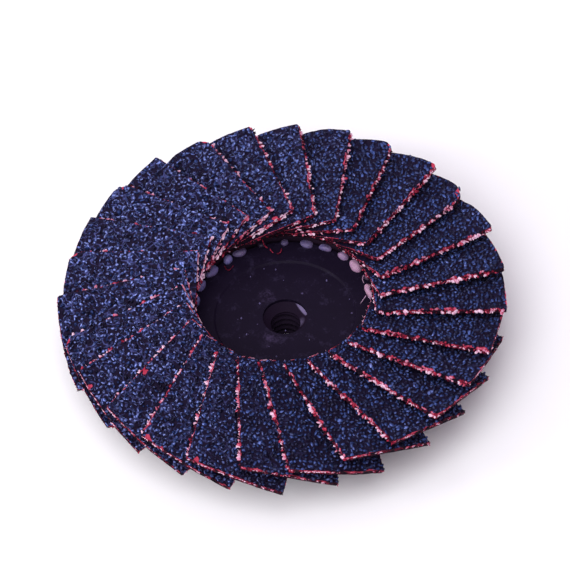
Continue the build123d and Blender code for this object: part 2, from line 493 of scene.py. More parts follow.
def makeTurnedSteel():
    # turned steel, dark inside the bore with soot and painted shade, but for a painted highlight crescent and
    # a dim painted glint
    material, tree, shader = newMaterial("turnedSteel", {"Specular IOR Level": 0.03})
    place = objectPlace(tree)
    parts = addNode(tree, "SeparateXYZ", {"Vector": place}).outputs
    radius = addMath(tree, "SQRT", addMath(tree, "ADD", addMath(tree, "POWER", parts["X"], 2.0),
                                           addMath(tree, "POWER", parts["Y"], 2.0)))
    turnings = addMath(tree, "SINE", addMath(tree, "MULTIPLY", addMath(tree, "ADD", radius, parts["Z"]),
                                             steelLook["turningsPerMetre"] * fullTurn))
    tarnish = addMottle(tree, place, *steelLook["mottle"])
    boreReach, crescentEnd = steelLook["boreReach"], steelLook["crescentEnd"]
    facingX, facingY, facingAt = steelLook["crescentFacing"]
    # the bore is painted dark: soot and painted shade
    sootAndShadeMask = addRange(tree, radius, boreReach * mm, (boreReach + 0.3) * mm, 1.0, 0.0)
    along = addMath(tree, "ADD", addMath(tree, "MULTIPLY", parts["X"], facingX),
                    addMath(tree, "MULTIPLY", parts["Y"], facingY))
    beyond = addRange(tree, along, (facingAt - 0.05) * mm, (facingAt + 0.12) * mm)
    before = addRange(tree, parts["Y"], (crescentEnd - 0.06) * mm, (crescentEnd + 0.1) * mm)
    crescent = addMath(tree, "MULTIPLY", beyond, before)
    spot = addSpot(tree, place, *steelLook["glimmer"])
    glimmer = addMath(tree, "MULTIPLY", spot, steelLook["glimmerShare"])
    patchy = addMath(tree, "ADD", addMath(tree, "MULTIPLY", tarnish, 0.4), 0.6)
    # the painted highlight crescent and the painted glint, a little patchy
    worn = addMath(tree, "MULTIPLY", addMath(tree, "ADD", crescent, glimmer, clamp=True), patchy)
    metal = addMix(tree, tarnish, steelLook["bright"], steelLook["dull"])
    sootAndShadeMetal = addMix(tree, sootAndShadeMask, metal, steelLook["sootAndShade"])
    brightened = addMix(tree, addMath(tree, "MULTIPLY", sootAndShadeMask, worn), sootAndShadeMetal, steelLook["brightened"])
    tree.links.new(brightened, shader.inputs["Base Color"])
    tree.links.new(addMath(tree, "SUBTRACT", 1.0, sootAndShadeMask), shader.inputs["Metallic"])
    roughness = addMath(tree, "ADD", addRange(tree, tarnish, 0.0, 1.0, *steelLook["gloss"]),
                        addMath(tree, "MULTIPLY", sootAndShadeMask, steelLook["boreRoughness"]))
    tree.links.new(roughness, shader.inputs["Roughness"])
    addBump(tree, shader, turnings, *steelLook["bump"])
    return material


mineralGrain = makeMineralGrain()
sizeCoat = makeSizeCoat()
cutFibre = makeCutFibre()
clothBack = makeClothBack()
plateNylon = makePlateNylon()
setEpoxy = makeSetEpoxy()
darkGlueBed = makeClouded("darkGlueBed", bedLook, {"Roughness": 0.6, "Specular IOR Level": 0.06})
turnedSteel = makeTurnedSteel()
fallenDust = makeClouded("fallenDust", dustLook, {"Roughness": 0.6, "Specular IOR Level": 0.3})
print("materials made:", len(bpy.data.materials))


def meshObject(name, points, faces, materials, kinds=None, smooth=False):
    # kinds numbers the material of each face, and smooth is one value or one for each face
    mesh = bpy.data.meshes.new(name)
    mesh.from_pydata([tuple(p) for p in points], [], faces)
    for material in materials:
        mesh.materials.append(material)
    if kinds is not None:
        mesh.polygons.foreach_set("material_index", kinds)
    mesh.polygons.foreach_set("use_smooth", [smooth] * len(faces) if isinstance(smooth, bool) else smooth)
    mesh.update()
    obj = bpy.data.objects.new(name, mesh)
    bpy.context.scene.collection.objects.link(obj)
    return obj


def setValues(mesh, name, values):
    layer = mesh.attributes.new(name, "FLOAT", "POINT")
    layer.data.foreach_set("value", np.asarray(values, np.float32))


class MeshParts:
    # gathers the points and faces of one piece, with a material number for each face and named values
    # for each point
    def __init__(self, *names):
        self.points, self.faces, self.kinds = [], [], []
        self.values = {name: [] for name in names}
        self.count = 0

    def add(self, points, faces, kind=0, **values):
        self.points.append(np.asarray(points, float))
        self.faces.extend([tuple(int(i) + self.count for i in face) for face in faces])
        self.kinds.extend([kind] * len(faces) if isinstance(kind, int) else kind)    # one, or one a face
        for name, column in self.values.items():
            value = values.get(name, 0.0)
            column.append(np.full(len(points), value) if np.isscalar(value) else np.asarray(value, float))
        self.count += len(points)

    def make(self, name, materials, smoothKinds=()):
        obj = meshObject(name, np.concatenate(self.points), self.faces, materials, self.kinds,
                         [kind in smoothKinds for kind in self.kinds])
        for label, column in self.values.items():
            setValues(obj.data, label, np.concatenate(column))
        return obj


def ringFaces(rings, around, closed=False, flipped=False):
    # quads between neighbouring rings of points; closed joins the last ring to the first
    faces = []
    for ring in range(rings if closed else rings - 1):
        near, far = ring * around, (ring + 1) % rings * around
        for k in range(around):
            after = (k + 1) % around
            if flipped:
                faces.append((near + k, far + k, far + after, near + after))
            else:
                faces.append((near + k, near + after, far + after, far + k))
    return faces


def addTube(parts, path, radii, **values):
    # a round strand through the points of a path, with its corners rounded off
    path, sides = np.asarray(path, float), 6
    for _ in range(2):
        middles = (path[1:] + path[:-1]) / 2
        quarters = np.stack([middles * 0.5 + path[:-1] * 0.5, middles * 0.5 + path[1:] * 0.5], 1)
        path = np.concatenate([path[:1], quarters.reshape(-1, 3), path[-1:]])
    last = len(path) - 1
    points = []
    for i, place in enumerate(path):
        ahead = path[min(i + 1, last)] - path[max(i - 1, 0)]
        side = np.cross(ahead, (0.3, 0.2, 1.0))
        side /= np.linalg.norm(side)
        up = np.cross(side, ahead) / np.linalg.norm(ahead)
        radius = np.interp(i / last, np.linspace(0, 1, len(radii)), radii)
        for k in range(sides):
            a = fullTurn * k / sides
            points.append(place + radius * (side * math.cos(a) + up * math.sin(a)))
    caps = [tuple(range(sides))[::-1], tuple(last * sides + k for k in range(sides))]
    parts.add(np.array(points) * mm, ringFaces(len(path), sides) + caps, **values)


def ripple(x, y, z, seed, size):
    # smooth noise from -1 to 1, with waves of the given size in mm
    return noise.noise(Vector((x / size + seed * 17.3, y / size - seed * 9.1, z / size + seed * 5.7)))


flapShape = {
    "resinLevel": -0.36,            # mm, top of the resin below the mean top of the grain
    "resinWaves": 0.04,
    "backLevel": -1.0,
    "brims": {"leading": 0.08, "outer": 0.24, "trailing": 0.0, "inner": 0.0},   # higher resin at the edges
    "brimWidth": 0.25,
    "gridPitch": 0.6,
    "closeLines": (0, 0.12, 0.3, 0.6, 1.0, 1.5),    # mm from a cut edge, where the grid closes up
    "edgeLevels": (-0.50, -0.76),   # mm, two rows of points down the cut edge, pressed in by the fuzz
    "edgeFuzz": (-0.12, -0.02),
    "edgeWobble": 0.12,
    "wobbleReach": 0.6,
    "cornerRound": 0.3,
    "cornerSpread": (0.5, 1.6),
    "wornRound": 1.9,               # rounding of a worn corner, against what it has lost
    "curl": 0.34,
    "twist": 0.26,
    "arch": 0.85,
    "swellAt": (-0.42, 0.5),        # a swollen outer end: its middle and reach, as shares of the half width
    "straightened": 0.7,            # how much straighter the outer ends are on the right side of the disc
    "bareInner": 0.08,              # mm of bare cloth along the inner edge, less where soaked or crusted
    "bareSoaked": 0.5,
    "bareCrusted": 0.12,
    "bareFar": 0.3,
    "coatedLeading": 0.05,
    "nickDepth": 0.8,
    "nickSize": 1.2,
    "nickLevel": 0.12,
    "chipEdge": 0.5,                # mm, over which a chipped patch begins
    "nearSoak": 0.55,               # glue soaked in more on the side of the disc where it ran
    "crustedSide": 176.0,           # degrees: the resin has crept over the flap edges on this side, and the painted highlights and painted paler inner edges are strongest round this side
    "crustedReach": 80.0,
    "highlightSideReach": 108.0,
    "highlightShares": (0.12, 0.85),     # how much of the painted highlight curls shows: on flaps away from that side, and on it
}

gritShape = {
    "pitch": 0.80,
    "scatter": 0.24,
    "gaps": 0.05,                   # share of the places left empty
    "edgeGap": 0.1,
    "radius": 0.36,
    "sides": 6,
    "sizes": (0.72, 1.3),
    "stretch": (1.0, 1.45),
    "lean": 0.8,
    "peaks": (-0.2, 0.12),
    "foot": (0.95, 1.2),            # the chip's outline at its foot, belt and crown, as shares of its radius
    "belt": (0.7, 0.95),
    "crown": (0.3, 0.62),
    "shoulder": (0.1, 0.24),        # from the crown down to the belt, in mm
    "tip": (-0.02, 0.07),
    "ceilings": (0.1, 0.17, 0.19),  # mm, highest belt, crown and tip
    "rims": (0.0, 1.0, 0.1),        # the painted highlight line runs round the belt
    "inset": 0.03,
    "cutSlope": 0.3,
    "shownAngle": 0.2327,           # radians between one flap and the next
    "shownMargin": 2.4,
    "shownEnd": 2.6,
    "footReach": 14.8,
}

frayShape = {
    "pitch": 0.34,
    "reach": 0.30,
    "radius": 0.20,
    "reaches": {"leading": 1.0, "outer": 0.45, "trailing": 0.6, "inner": 0.7},
    "lumps": 1.25,                  # how unevenly the yarn stands out along an edge
    "endGap": 0.4,                  # mm left bare at the outer end of the leading edge
    "outerRaise": 0.28,
    "crustedFrom": 0.25,            # where the extra lumps of a crusted inner edge start, and their share
    "crustedShare": 0.5,
    "soakedLeast": 0.1,             # the same for those by the corner of a soaked one, and how far they run
    "cornerRun": 2.4,
    "cornerShare": 0.7,
    "nickShare": 0.6,
    "shares": (0.58, 0.9),          # running total of low and of middle tufts
    "rimShades": (0.28, 0.46, 0.38, 0.22),      # fibre tone down the cut edge, from the resin to the back, kept low as painted shade between the tufts
    "outerShades": (0.5, 0.5, 0.14, 0.08),
    "tone": 0.53,
    "clumps": 1.85,
    "clumpSize": 0.68,
    # painted light: inner edges are painted paler, most on the crusted side
    "innerPaler": 0.06,
    "paintedInnerLight": 0.22,
    "soakedDarker": 1.25,
    "cornerPaler": 1.5,             # a soaked edge stays pale by its leading corner
    "cornerReach": 1.5,
    "innerDarkFrom": 4.0,              # mm from the leading corner, where the inner edge starts to darken
    "innerDarkFade": 0.09,
    "outerPaler": 0.26,
    "farDarker": 0.65,
    "outerFade": 0.045,
    "trailingDarker": 0.3,
    "hairs": 7,
    "hairReach": (0.2, 0.5),
    "hairRadius": (0.03, 0.05),
    "hairCeiling": 0.25,
}

# kinds of yarn end: how deep its middle lies, its width and reach as shares, how blunt its tip is, and its
# tone, which is a change to the tone of the cut cloth there unless it is plain
tufts = {
    "crusted": {"depth": (-0.45, -0.15), "width": (0.7, 1.15), "reach": (0.3, 0.7), "tip": 0.5,
                "tone": (0.0, 0.3)},
    "corner": {"depth": (-0.25, 0.0), "width": (0.8, 1.2), "reach": (0.3, 0.8), "tip": 0.5,
               "plainTone": (0.5, 0.95)},
    "nick": {"depth": (-0.34, -0.1), "width": (0.9, 1.3), "reach": (0.1, 0.5), "tip": 0.5,
             "plainTone": (0.34, 0.76)},
    "low": {"depth": (-0.88, -0.60), "width": (0.6, 1.15), "reach": (0.5, 1.5), "tip": 0.4,
            "tone": (0.05, 0.4)},
    "middle": {"depth": (-0.66, -0.44), "width": (0.8, 1.25), "reach": (0.3, 1.0), "tip": 0.55,
               "tone": (-0.32, 0.0)},
}

# coat knocked off in patches: flap number, place along and across the flap, and reach, in mm
chips = (
    (25, 12.5, -8.1, 0.65), (26, 21.7, -7.4, 0.55), (26, 21.8, -4.6, 0.45), (27, 21.5, -6.9, 0.55),
    (7, 20.6, -8.3, 0.7), (7, 18.4, -8.4, 0.5), (16, 0.4, -5.0, 0.6), (22, 9.8, -8.4, 0.25),
    (23, 6.2, -8.4, 0.25), (24, 21.6, -5.2, 0.4), (12, 21.8, -8.3, 0.6), (9, 4.5, -8.4, 0.5),
    (3, 9.5, -8.4, 0.4), (14, 14.0, -8.4, 0.4),
)

# flaps whose outer end has swollen up by its leading corner, and how far in mm
swollen = {10: 0.3, 12: 0.1, 14: 0.4, 17: 0.4}


def readFlap(node):
    # a flap's own axes from its CAD solid: origin in the middle of the inner edge of the top face
    mesh = node.data
    top = [p for p in mesh.polygons if p.normal.z > 0.7]
    corners = {tuple(round(c, 7) for c in mesh.vertices[i].co) for p in top for i in p.vertices}
    corners = [Vector(c) for c in corners]
    normal = sum((p.normal * p.area for p in top), Vector()).normalized()
    centre = sum(corners, Vector()) / len(corners)
    outwards = Vector((centre.x, centre.y, 0)).normalized()
    rough = (outwards - normal * outwards.dot(normal)).normalized()
    side = normal.cross(rough)
    corners.sort(key=lambda c: math.atan2((c - centre).dot(side), (c - centre).dot(rough)))
    edges = [corners[i] - corners[i - 1] for i in range(len(corners))]
    longSide = max(edges, key=lambda e: e.length).normalized()
    if longSide.dot(rough) < 0:
        longSide = -longSide
    crossSide = normal.cross(longSide)
    xs = [(c - centre).dot(longSide) for c in corners]
    ys = [(c - centre).dot(crossSide) for c in corners]
    slack = 0.1 * mm
    leading = max(x for x, y in zip(xs, ys) if y < min(ys) + slack)
    trailing = max(x for x, y in zip(xs, ys) if y > max(ys) - slack)
    return {
        "origin": centre + longSide * min(xs) + crossSide * (min(ys) + max(ys)) / 2,
        "axes": np.array([longSide, crossSide, normal]),
        "length": (trailing - min(xs)) / mm,
        "half": (max(ys) - min(ys)) / 2 / mm,
        "bulge": (max(xs) - trailing) / mm,
        "worn": (trailing - leading) / mm,
    }


def gridLines(low, high):
    # evenly spaced lines, closer together near both ends
    *close, first = flapShape["closeLines"]
    count = max(3, int((high - low - 2 * first) / flapShape["gridPitch"]) + 1)
    middle = np.linspace(low + first, high - first, count)
    return np.array([low + c for c in close] + list(middle) + [high - c for c in reversed(close)])


class Flap:
    # one flap in its own axes, in mm: x outwards, y towards its trailing edge, z up from the grain
    def __init__(self, number, shape):
        self.number = number
        self.length, self.half, self.worn = shape["length"], shape["half"], max(0.0, shape["worn"] - 0.05)
        self.origin, self.axes = np.array(shape["origin"]) / mm, shape["axes"]
        self.dice = random.Random(100 + number)
        self.curl = self.dice.uniform(-0.4, 1.0) * flapShape["curl"]
        self.twist = self.dice.uniform(-1, 1) * flapShape["twist"]
        self.arch = self.dice.uniform(0.6, 1.3) * flapShape["arch"]
        corners = ((0, 0), (0, 1), (1, 0), (1, 1))
        self.cornerSizes = {corner: self.dice.uniform(*flapShape["cornerSpread"]) for corner in corners}
        if self.worn > 0:
            self.cornerSizes[(1, 0)] = max(1.0, self.worn * flapShape["wornRound"] / flapShape["cornerRound"])
        turned = math.atan2(self.origin[1], self.origin[0])
        away = abs((turned - math.radians(flapShape["crustedSide"]) + math.pi) % fullTurn - math.pi)
        self.crusted = max(0.0, 1 - (away / math.radians(flapShape["crustedReach"])) ** 2)
        # how near the flap is to the side where the painted highlights are strongest
        self.highlightSide = max(0.0, 1 - (away / math.radians(flapShape["highlightSideReach"])) ** 2)
        self.soaked = flapShape["nearSoak"] * max(0.0, -math.sin(turned))
        self.farSide = max(0.0, math.sin(turned))
        self.bulge = shape["bulge"] * (1 - flapShape["straightened"] * max(0.0, math.cos(turned)) ** 2)

    def lift(self, x, y):
        # how far the flap has bent out of flat, growing from its glued foot to its free end
        far, side = np.clip(x / self.length, 0, 1.1), y / self.half
        middle, reach = flapShape["swellAt"]
        swell = np.clip(1 - ((side - middle) / reach) ** 2, 0, 1)
        return (self.curl * far ** 2 + self.twist * far * side * 0.6 + self.arch * far ** 3 * (1 - side ** 2)
                + swollen.get(self.number, 0.0) * far ** 4 * swell)

    def world(self, x, y, z):
        x, y = np.asarray(x, float), np.asarray(y, float)
        rounded = self.bulge * (1 - (y / self.half) ** 2) * np.clip(x / self.length, 0, 1.1) ** 3
        local = np.stack([x + rounded, y, np.asarray(z, float) + self.lift(x, y)], -1)
        return (self.origin + local @ self.axes) * mm

    def edgeDistance(self, x, y):
        # distance to the nearest cut edge, and which one: leading, outer, trailing or inner
        choices = [(y + self.half, "leading"), (self.length - x, "outer"), (self.half - y, "trailing"),
                   (x, "inner")]
        if self.worn > 0:
            corner = ((self.length - x) + (y + self.half) - self.worn) / math.sqrt(2)
            choices.append((corner, "leading"))
        return min(choices)

    def nick(self, x, y):
        # over 0 where a cut edge has lost a nick of its coat
        return ripple(x, y, 31, self.number, flapShape["nickSize"]) - flapShape["nickLevel"]

    def bareness(self, x, y):
        # over 0.5 where the coat is chipped off and cloth shows: small nicks on the edges and a few patches
        distance, edge = self.edgeDistance(x, y)
        covered = flapShape["bareSoaked"] * self.soaked
        bared = {"inner": flapShape["bareInner"] - covered - flapShape["bareCrusted"] * self.crusted,
                 "outer": -flapShape["bareFar"] * self.farSide, "leading": -flapShape["coatedLeading"]}
        reach = bared.get(edge, 0.0)
        nick = self.nick(x, y)
        if nick > 0 and edge in ("leading", "outer"):
            reach += nick * flapShape["nickDepth"] * (1 - self.crusted)
        value = 0.5 + (reach - distance) / flapShape["chipEdge"]
        for number, chipX, chipY, size in chips:
            if number == self.number:
                ragged = size * (1 + 0.5 * ripple(x, y, 2, number, 0.9))
                value = max(value, 0.5 + (ragged - math.hypot(x - chipX, y - chipY)) / flapShape["chipEdge"])
        return value

    def outline(self, x, y):
        # rounds the corners and lets the cut edges wander a little
        cx, cy = x - self.length / 2, y
        hx, hy = self.length / 2, self.half
        lost = flapShape["cornerRound"] * self.cornerSizes[(cx > 0, cy > 0)]
        dx, dy = abs(cx) - (hx - lost), abs(cy) - (hy - lost)
        if dx > 0 and dy > 0:
            pull = max(dx, dy) / math.hypot(dx, dy)
            cx = math.copysign(hx - lost + dx * pull, cx)
            cy = math.copysign(hy - lost + dy * pull, cy)
        distance, edge = self.edgeDistance(x, y)
        fade = math.exp(-max(distance, 0) / flapShape["wobbleReach"])
        waves = ripple(x, y, 7, self.number, 3.2) + 0.5 * ripple(x, y, 9, self.number, 0.9)
        wobble = flapShape["edgeWobble"] * waves
        outward = {"leading": (0, -1), "outer": (1, 0), "trailing": (0, 1), "inner": (-1, 0)}[edge]
        return cx + hx + outward[0] * wobble * fade, cy + outward[1] * wobble * fade

    def brim(self, x, y):
        # resin stands a little higher along the cut edges, most at the outer end
        distance, edge = self.edgeDistance(x, y)
        return flapShape["brims"][edge] * math.exp(-max(distance, 0) / flapShape["brimWidth"])

    def slab(self, parts):
        # cloth and resin: a top and an underside grid joined by a fuzzy cut edge
        xs, ys = gridLines(0, self.length), gridLines(-self.half, self.half)
        nx, ny = len(xs), len(ys)
        grid = [(x, y) for x in xs for y in ys]
        plan = np.array([self.outline(x, y) for x, y in grid])
        bare = np.array([self.bareness(x, y) for x, y in grid])
        brim = np.array([self.brim(x, y) for x, y in grid])
        rise = np.array([flapShape["resinWaves"] * ripple(x, y, 1, self.number, 0.8) for x, y in grid])
        top = self.world(*plan.T, flapShape["resinLevel"] + brim + rise)
        index = np.arange(nx * ny).reshape(nx, ny)
        quads = [(index[i, j], index[i + 1, j], index[i + 1, j + 1], index[i, j + 1])
                 for i in range(nx - 1) for j in range(ny - 1)]
        parts.add(top, quads, 1, bareCloth=np.clip(bare, 0, 1))
        under = self.world(*plan.T, np.full(nx * ny, flapShape["backLevel"]))
        parts.add(under, [tuple(reversed(q)) for q in quads], 3)
        rim = [*index[:, 0], *index[-1, 1:], *index[-2::-1, -1], *index[0, -2:0:-1]]
        rings = [top[rim]]
        away = plan[rim] - plan.mean(0)
        away /= np.linalg.norm(away, axis=1)[:, None]
        for level in flapShape["edgeLevels"]:
            fuzz = np.array([self.dice.uniform(*flapShape["edgeFuzz"]) for _ in rim])[:, None]
            rings.append(self.world(*(plan[rim] + away * fuzz).T, np.full(len(rim), level)))
        rings.append(under[rim])
        edges = [self.edgeDistance(*plan[i])[1] for i in rim]
        # the cut face behind the tufts is kept dark, a painted shade between them
        plain = frayShape["rimShades"]
        shades = {"inner": np.array(plain) * (0.45 - 0.4 * self.soaked), "outer": frayShape["outerShades"]}
        tones = [self.fibreTone(*plan[i], self.dice.uniform(-0.12, 0.12)) * shades.get(edge, plain)[level]
                 for level in range(len(rings)) for i, edge in zip(rim, edges)]
        parts.add(np.concatenate(rings), ringFaces(len(rings), len(rim), flipped=True), 2, frayTone=tones)

    def shown(self, x, y):
        # the part that the next flap leaves open, and a little more
        margin = gritShape["shownMargin"] * (1 + x / self.length)
        strip = gritShape["shownAngle"] * (gritShape["footReach"] + x) + margin
        return y < -self.half + strip or x > self.length - gritShape["shownEnd"]

    def grainPlaces(self):
        pitch, scatter, gap, dice = gritShape["pitch"], gritShape["scatter"], gritShape["edgeGap"], self.dice
        places = []
        row, x = 0, 0.12
        while x < self.length - 0.05:
            y = -self.half + (pitch / 2 if row % 2 else 0) + dice.uniform(0, 0.15)
            while y < self.half:
                px = min(max(x + dice.uniform(-scatter, scatter), gap), self.length - gap)
                py = min(max(y + dice.uniform(-scatter, scatter), -self.half + gap), self.half - gap)
                inside = self.edgeDistance(px, py)[0] > 0.05 and self.bareness(px, py) < 0.5
                if inside and self.shown(px, py) and dice.random() > gritShape["gaps"]:
                    places.append((px, py))
                y += pitch
            x += pitch * 0.866
            row += 1
        return np.array(places)

    def trimmed(self, x, y, z):
        # the blade that cut the flap went through the grain too
        inset = gritShape["inset"]
        x = np.clip(x, inset, self.length - inset)
        y = np.clip(y, inset - self.half, self.half - inset)
        corner = ((self.length - x) + (y + self.half) - self.worn) / math.sqrt(2)
        short = np.maximum(0, inset - corner) / math.sqrt(2)
        edge = np.minimum(np.minimum(self.length - x, y + self.half), corner)
        return x - short, y + short, np.minimum(z, gritShape["cutSlope"] * edge)

    def grains(self, parts):
        # angular grit bedded in the resin, which climbs the sides of each chip and leaves its top clean
        places = self.grainPlaces()
        count, sides = len(places), gritShape["sides"]
        chance = np.random.RandomState(500 + self.number)
        angles = chance.uniform(0, fullTurn, (count, 1)) + np.arange(sides) * 2 * math.pi / sides
        angles = angles + chance.uniform(-0.3, 0.3, (count, sides))
        size = gritShape["radius"] * chance.uniform(*gritShape["sizes"], (count, 1))
        stretch = chance.uniform(*gritShape["stretch"], (count, 1))
        lie = chance.uniform(0, math.pi, (count, 1))
        lean = chance.uniform(0.0, gritShape["lean"], (count, 1))
        heading = chance.uniform(0, fullTurn, (count, 1))
        peak = chance.uniform(*gritShape["peaks"], (count, 1))

        def ring(shares, shift):
            radius = size * shares
            along, across = radius * np.cos(angles - lie) * stretch, radius * np.sin(angles - lie) / stretch
            return (places[:, :1] + shift[:, :1] + along * np.cos(lie) - across * np.sin(lie),
                    places[:, 1:] + shift[:, 1:] + along * np.sin(lie) + across * np.cos(lie))

        def slope(x, y):
            return lean * ((x - places[:, :1]) * np.cos(heading) + (y - places[:, 1:]) * np.sin(heading))

        highestBelt, highestCrown, highestTip = gritShape["ceilings"]
        still = np.zeros((count, 2))
        footX, footY = ring(chance.uniform(*gritShape["foot"], (count, sides)), still)
        beltX, beltY = ring(chance.uniform(*gritShape["belt"], (count, sides)), still)
        crownX, crownY = ring(chance.uniform(*gritShape["crown"], (count, sides)),
                              chance.uniform(-0.06, 0.06, (count, 2)))
        footZ = np.full((count, sides), flapShape["resinLevel"] - 0.1)
        drop = chance.uniform(*gritShape["shoulder"], (count, sides))
        beltZ = np.minimum(peak - drop + slope(beltX, beltY), highestBelt)
        crownZ = np.minimum(peak + slope(crownX, crownY), highestCrown)
        beltZ = np.maximum(np.minimum(beltZ, crownZ - 0.03), footZ + 0.08)
        tipX = crownX.mean(1, keepdims=True) + chance.uniform(-0.05, 0.05, (count, 1))
        tipY = crownY.mean(1, keepdims=True) + chance.uniform(-0.05, 0.05, (count, 1))
        tipRise = chance.uniform(*gritShape["tip"], (count, 1))
        tipZ = np.minimum(crownZ.mean(1, keepdims=True) + tipRise, highestTip)
        x = np.concatenate([footX, beltX, crownX, tipX], 1).ravel()
        y = np.concatenate([footY, beltY, crownY, tipY], 1).ravel()
        z = np.concatenate([footZ, beltZ, crownZ, tipZ], 1).ravel()
        flanks, tops = [], []
        step = sides * 3 + 1
        for foot in range(0, count * step, step):
            belt, crown = foot + sides, foot + 2 * sides
            for k in range(sides):
                after = (k + 1) % sides
                flanks.append((foot + k, foot + after, belt + after, belt + k))
                tops.append((belt + k, belt + after, crown + after, crown + k))
                tops.append((crown + k, crown + after, foot + step - 1))
        kinds = [1] * len(flanks) + [0] * len(tops)
        tones = np.repeat(chance.uniform(0, 1, count), step)
        rims = np.tile([*np.repeat(gritShape["rims"], sides), 0.0], count)
        parts.add(self.world(*self.trimmed(x, y, z)), flanks + tops, kinds, grainTone=tones, grainRim=rims)

    def edgeRuns(self):
        # each cut edge as start, direction and length along it, and the way out
        return {
            "leading": ((0.0, -self.half), (1, 0), self.length - self.worn, (0, -1)),
            "outer": ((self.length, -self.half + self.worn), (0, 1), 2 * self.half - self.worn, (1, 0)),
            "trailing": ((0.0, self.half), (1, 0), self.length, (0, 1)),
            "inner": ((0.0, -self.half), (0, 1), 2 * self.half, (-1, 0)),
        }

    def fibreTone(self, x, y, change):
        # pale frayed clumps between red ones; inner ends are painted paler as light, most on the crusted
        # side, and darken further from the leading corner and on the near side of the disc, staying pale by
        # that corner
        clump = ripple(x, y, 11, self.number, frayShape["clumpSize"])
        value = frayShape["tone"] + frayShape["clumps"] * clump + change
        edge = self.edgeDistance(x, y)[1]
        if edge == "inner":
            fromCorner = y + self.half
            fade = frayShape["innerDarkFade"] * max(0.0, fromCorner - frayShape["innerDarkFrom"])
            nearCorner = math.exp(-fromCorner / frayShape["cornerReach"])
            soaking = self.soaked * (frayShape["soakedDarker"] - frayShape["cornerPaler"] * nearCorner)
            value += frayShape["innerPaler"] + frayShape["paintedInnerLight"] * self.crusted - soaking - fade
        if edge == "outer":
            fade = frayShape["outerFade"] * (y + self.half)
            value += frayShape["outerPaler"] - frayShape["farDarker"] * self.farSide - fade
        if edge == "trailing":
            value -= frayShape["trailingDarker"]
        return min(1.0, max(0.0, value))

    def tuft(self, parts, place, kind, reach, bulk=1.0, raised=0.0, darker=0.0):
        # one yarn end, bulging out of the cut and closing towards its tip
        x, y, along, away = place
        dice, look, sides = self.dice, tufts[kind], 5
        middle = dice.uniform(*look["depth"]) + raised
        width = frayShape["radius"] * bulk * dice.uniform(*look["width"])
        reach = reach * dice.uniform(*look["reach"])
        if "plainTone" in look:
            shade = dice.uniform(*look["plainTone"]) - darker
        else:
            shade = self.fibreTone(x, y, dice.uniform(*look["tone"]))
        tip = look["tip"]
        sway, rise = dice.uniform(-0.4, 0.4), dice.uniform(-0.16, 0.04)
        spread = 1.0 + (0.9 * dice.random() if away[0] < 0 else 0.0)
        points, tones = [], []
        for t, fat in ((-0.25, 1.0), (0.35, 1.05), (0.8, 0.5 + tip / 2), (1.0, tip)):
            out = max(t, 0)
            for k in range(sides):
                a = fullTurn * k / sides + 0.3
                flat = width * fat * (1 + dice.uniform(-0.15, 0.15))
                side = math.cos(a) * flat * spread + sway * out
                points.append((
                    x + along[0] * side + away[0] * reach * t,
                    y + along[1] * side + away[1] * reach * t,
                    middle + math.sin(a) * flat * 0.9 + rise * out,
                ))
                tones.append(shade * (0.8 + 0.2 * out))
        cap = tuple(3 * sides + k for k in range(sides))
        parts.add(self.world(*np.array(points).T), ringFaces(4, sides) + [cap], 2, frayTone=tones)

    def yarns(self, parts):
        # broken yarn ends along the cut edges: stubby red ones above, longer pale split ones below,
        # and red lumps up to the grain where the coat has broken off the edge
        dice = self.dice
        lowShare, middleShare = frayShape["shares"]
        sizes = {"leading": 1.0 + 0.2 * self.crusted, "outer": 0.60 - 0.1 * self.farSide, "trailing": 0.7,
                 "inner": 0.72 + 0.28 * self.crusted}
        hiddenShares = {"leading": 0.78 * self.crusted, "outer": 0.85 * self.farSide}
        for edge, (start, along, run, away) in self.edgeRuns().items():
            inner = edge == "inner"
            last = run - (frayShape["endGap"] if edge == "leading" else 0.0)
            raised = frayShape["outerRaise"] if edge == "outer" else 0.0
            s = 0.1
            while s < run:
                s += frayShape["pitch"] * dice.uniform(0.5, 1.2)
                if s > last:
                    continue
                x, y = start[0] + along[0] * s, start[1] + along[1] * s
                place = (x, y, along, away)
                bulk = max(0.25, 1 + frayShape["lumps"] * ripple(x, y, 21, self.number, 1.1)) * sizes[edge]
                reach = frayShape["reach"] * bulk * frayShape["reaches"][edge]
                chance = dice.random()
                hidden = dice.random() < hiddenShares.get(edge, 0.0)
                if hidden or (inner and ripple(x, y, 41, self.number, 0.8) < -0.2 - 0.25 * self.crusted):
                    continue
                if inner and self.crusted > frayShape["crustedFrom"] and chance < frayShape["crustedShare"]:
                    self.tuft(parts, place, "crusted", reach)
                nearCorner = self.soaked > frayShape["soakedLeast"] and s < frayShape["cornerRun"]
                if inner and nearCorner and chance < frayShape["cornerShare"]:
                    self.tuft(parts, place, "corner", reach)
                nicked = self.nick(x, y) > 0 and edge in ("leading", "inner")
                if nicked and chance < frayShape["nickShare"] * (1 - 0.6 * self.crusted):
                    self.tuft(parts, place, "nick", reach, bulk, darker=0.8 * self.soaked if inner else 0.0)
                if chance < lowShare:
                    self.tuft(parts, place, "low", reach, bulk, raised)
                elif chance < middleShare:
                    self.tuft(parts, place, "middle", reach, bulk, raised / 2)

    def hairs(self, parts):
